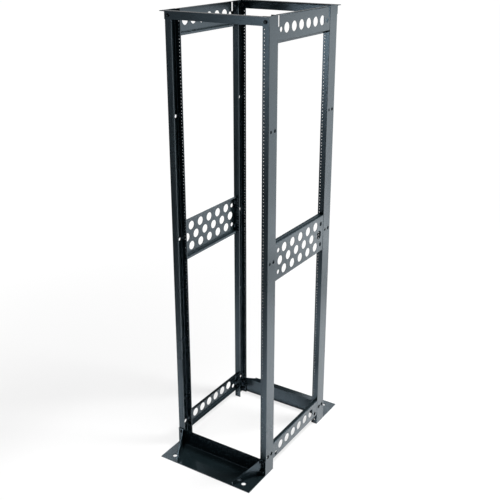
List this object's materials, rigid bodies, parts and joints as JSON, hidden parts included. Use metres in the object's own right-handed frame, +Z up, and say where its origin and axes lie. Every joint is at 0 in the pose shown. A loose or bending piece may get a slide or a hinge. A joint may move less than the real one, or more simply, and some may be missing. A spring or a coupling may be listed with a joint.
{
  "type": "four-post open frame rack",
  "caption": "Open four-post equipment rack in black-coated steel, with rack holes on both flanges of every channel post, pierced side panels and gusseted floor bases.",
  "frame": {"origin": "on the floor, under the middle of the rack", "axes": "+X to the rack's right side as seen from its front, +Y from the front to the rear, +Z up"},
  "size_m": [0.5144, 0.879, 2.1336],
  "materials": {
    "powder_coat": "fine-textured black powder coat"
  },
  "bodies": {
    "root": {"front_left_post": "powder_coat", "front_right_post": "powder_coat", "rear_left_post": "powder_coat", "rear_right_post": "powder_coat", "front_top_angle": "powder_coat", "rear_top_angle": "powder_coat", "front_base_angle": "powder_coat", "rear_base_angle": "powder_coat", "front_left_gusset": "powder_coat", "front_right_gusset": "powder_coat", "rear_left_gusset": "powder_coat", "rear_right_gusset": "powder_coat", "left_top_panel": "powder_coat", "left_middle_panel": "powder_coat", "left_bottom_panel": "powder_coat", "right_top_panel": "powder_coat", "right_middle_panel": "powder_coat", "right_bottom_panel": "powder_coat"}
  },
  "joints": []
}
